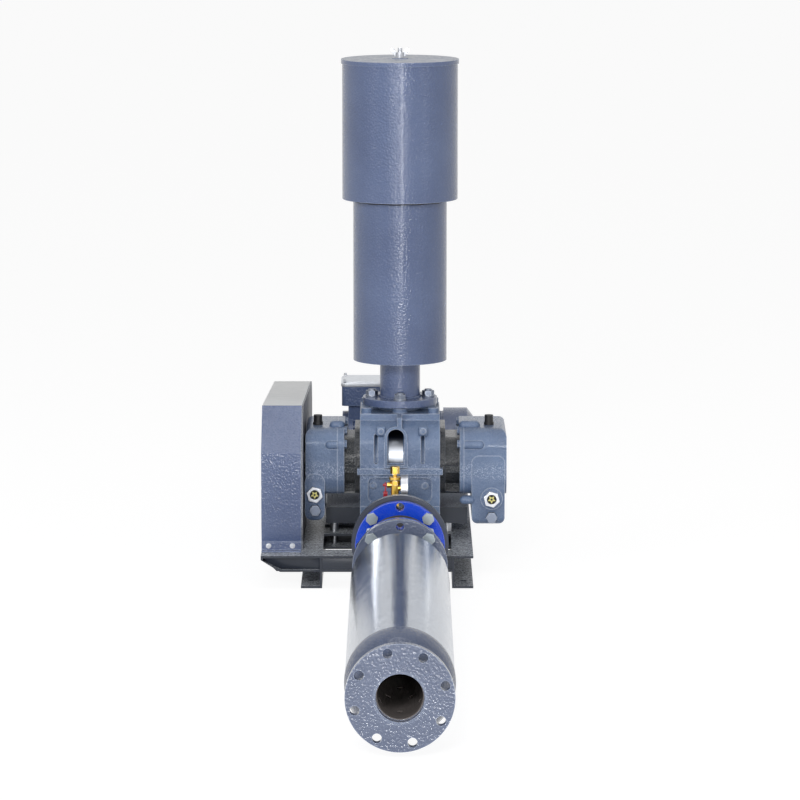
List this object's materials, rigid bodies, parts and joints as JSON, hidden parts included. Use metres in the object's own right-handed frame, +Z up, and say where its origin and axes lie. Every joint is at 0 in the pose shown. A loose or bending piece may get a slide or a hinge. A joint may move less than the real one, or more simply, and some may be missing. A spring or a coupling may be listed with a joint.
{
  "type": "roots blower package",
  "caption": "Roots blower on a steel base with belt-driven motor, guarded pulleys, inlet filter and silencer above and a long discharge silencer in front.",
  "frame": {"origin": "centre of the rectangle of floor bolt holes, at the floor under the base", "axes": "-Y the way the air leaves through the discharge silencer, +X to the timing gears' end, +Z up"},
  "size_m": [0.537, 2.692, 1.1502],
  "materials": {
    "blue_grey_paint": "hammered gloss paint",
    "cast_paint": "gloss paint on a rough casting",
    "frame_paint": "satin paint",
    "dark_steel": "plain steel",
    "ground_steel": "ground",
    "zinc": "zinc plated",
    "galvanised": "galvanised sheet",
    "cast_iron": "as cast, machined where it runs",
    "vivid_blue": "gloss paint",
    "black_rubber": "matt",
    "black_plastic": "moulded",
    "pale_aluminium": "satin",
    "brass": "turned",
    "red_sleeve": "soft dipped sleeve",
    "clear_lens": "yellowish lens",
    "filter_paper": "pleated paper",
    "absorber_wool": "mineral wool"
  },
  "bodies": {
    "base": {"left_rail": "frame_paint", "right_rail": "frame_paint", "cross_beams": "frame_paint", "motor_slide_plate": "frame_paint", "blower_feet": "frame_paint", "levelling_studs": "zinc", "discharge_box": "cast_paint", "rotor_casing": "cast_paint", "name_plate": "pale_aluminium", "drive_side_plate": "cast_paint", "gear_side_plate": "cast_paint", "drive_end_cover": "cast_paint", "gear_end_cover": "cast_paint", "cover_bolts": "cast_paint", "oil_filler_plugs": "black_plastic", "oil_drain_plugs": "cast_paint", "sight_glass_bodies": "zinc", "sight_lenses": "clear_lens", "shaft_bearings": "ground_steel", "shaft_seals": "black_rubber", "inlet_gasket": "black_rubber", "inlet_pipe": "blue_grey_paint", "inlet_bolts": "zinc", "inlet_silencer_shell": "blue_grey_paint", "perforated_tubes": "galvanised", "sound_absorbers": "absorber_wool", "filter_housing": "blue_grey_paint", "filter_element": "filter_paper", "tie_rod": "zinc", "belt_guard": "blue_grey_paint", "guard_back_plate": "dark_steel", "v_belts": "black_rubber", "motor_housing": "blue_grey_paint", "motor_end_shields": "blue_grey_paint", "fan_cowl": "blue_grey_paint", "terminal_box": "blue_grey_paint", "terminal_box_lid": "pale_aluminium", "discharge_pipe": "frame_paint", "rubber_joint": "black_rubber", "joint_flanges": "vivid_blue", "joint_bolts": "zinc", "silencer_rear_flange": "blue_grey_paint", "silencer_shell": "galvanised", "silencer_front_flange": "blue_grey_paint", "gauge_cock": "brass", "pressure_gauge": "zinc"},
    "drive_rotor_group": {"drive_shaft": "ground_steel", "drive_rotor": "cast_iron", "drive_timing_gear": "ground_steel", "blower_pulley": "cast_iron"},
    "driven_rotor_group": {"driven_shaft": "ground_steel", "driven_rotor": "cast_iron", "driven_timing_gear": "ground_steel"},
    "motor_rotor_group": {"motor_shaft": "ground_steel", "motor_pulley": "cast_iron", "motor_fan": "black_plastic"},
    "cock_lever": {"cock_lever": "red_sleeve"},
    "gauge_needle": {"gauge_needle": "black_plastic"},
    "filter_lid": {"filter_lid": "blue_grey_paint"},
    "wing_nut": {"wing_nut": "zinc"}
  },
  "joints": [
    {"name": "drive_rotor_spin", "type": "hinge", "parent": "base", "child": "drive_rotor_group", "pos_m": [0.028, -0.273, 0.24], "axis": [1, 0, 0], "continuous": true},
    {"name": "driven_rotor_spin", "type": "hinge", "parent": "base", "child": "driven_rotor_group", "pos_m": [0.028, -0.177, 0.24], "axis": [1, 0, 0], "continuous": true},
    {"name": "motor_spin", "type": "hinge", "parent": "base", "child": "motor_rotor_group", "pos_m": [0.028, 0.245, 0.177], "axis": [1, 0, 0], "continuous": true},
    {"name": "cock_lever_turn", "type": "hinge", "parent": "base", "child": "cock_lever", "pos_m": [-0.003, -0.505, 0.223], "axis": [1, 0, 0], "range_deg": [0, 90]},
    {"name": "gauge_needle_turn", "type": "hinge", "parent": "base", "child": "gauge_needle", "pos_m": [0.036, -0.505, 0.216], "axis": [-1, 0, 0], "range_deg": [0, 260]},
    {"name": "filter_lid_lift", "type": "slide", "parent": "base", "child": "filter_lid", "axis": [0, 0, 1], "range_m": [0, 0.05]},
    {"name": "wing_nut_turn", "type": "hinge", "parent": "filter_lid", "child": "wing_nut", "pos_m": [0.028, -0.225, 1.135], "axis": [0, 0, 1], "continuous": true}
  ],
  "couplings": [
    {"joint": "driven_rotor_spin", "follows": "drive_rotor_spin", "ratio": -1},
    {"joint": "motor_spin", "follows": "drive_rotor_spin", "ratio": 1.6}
  ]
}
